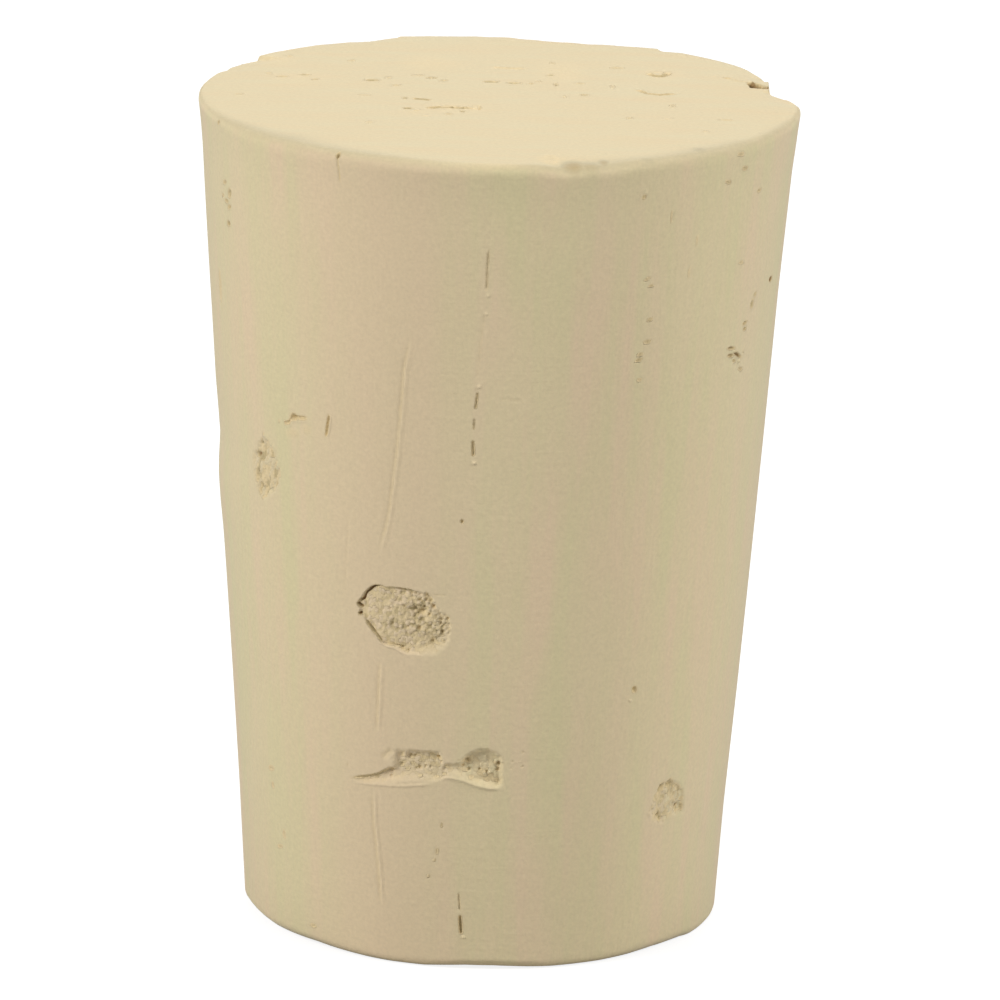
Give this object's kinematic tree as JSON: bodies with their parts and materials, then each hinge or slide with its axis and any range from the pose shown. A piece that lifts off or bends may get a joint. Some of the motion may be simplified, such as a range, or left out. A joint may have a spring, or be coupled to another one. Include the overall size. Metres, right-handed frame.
{
  "type": "cork stopper",
  "caption": "Tapered natural cork stopper cut from one piece of bark, with open lenticel pits, a growth line across its wide face and worn rims",
  "frame": {"origin": "Centre of the foot, the narrow end face that the stopper stands on", "axes": "+Z runs along the stopper's axis from the narrow foot to the wide face; -Y is the front, with the two large lenticels; +X is to the right of the front, and the growth line runs along X"},
  "size_m": [0.0242, 0.0242, 0.0336],
  "materials": {
    "cork": "dry cut natural cork, pale, unsealed"
  },
  "bodies": {
    "root": {"stopper": "cork"}
  },
  "joints": []
}
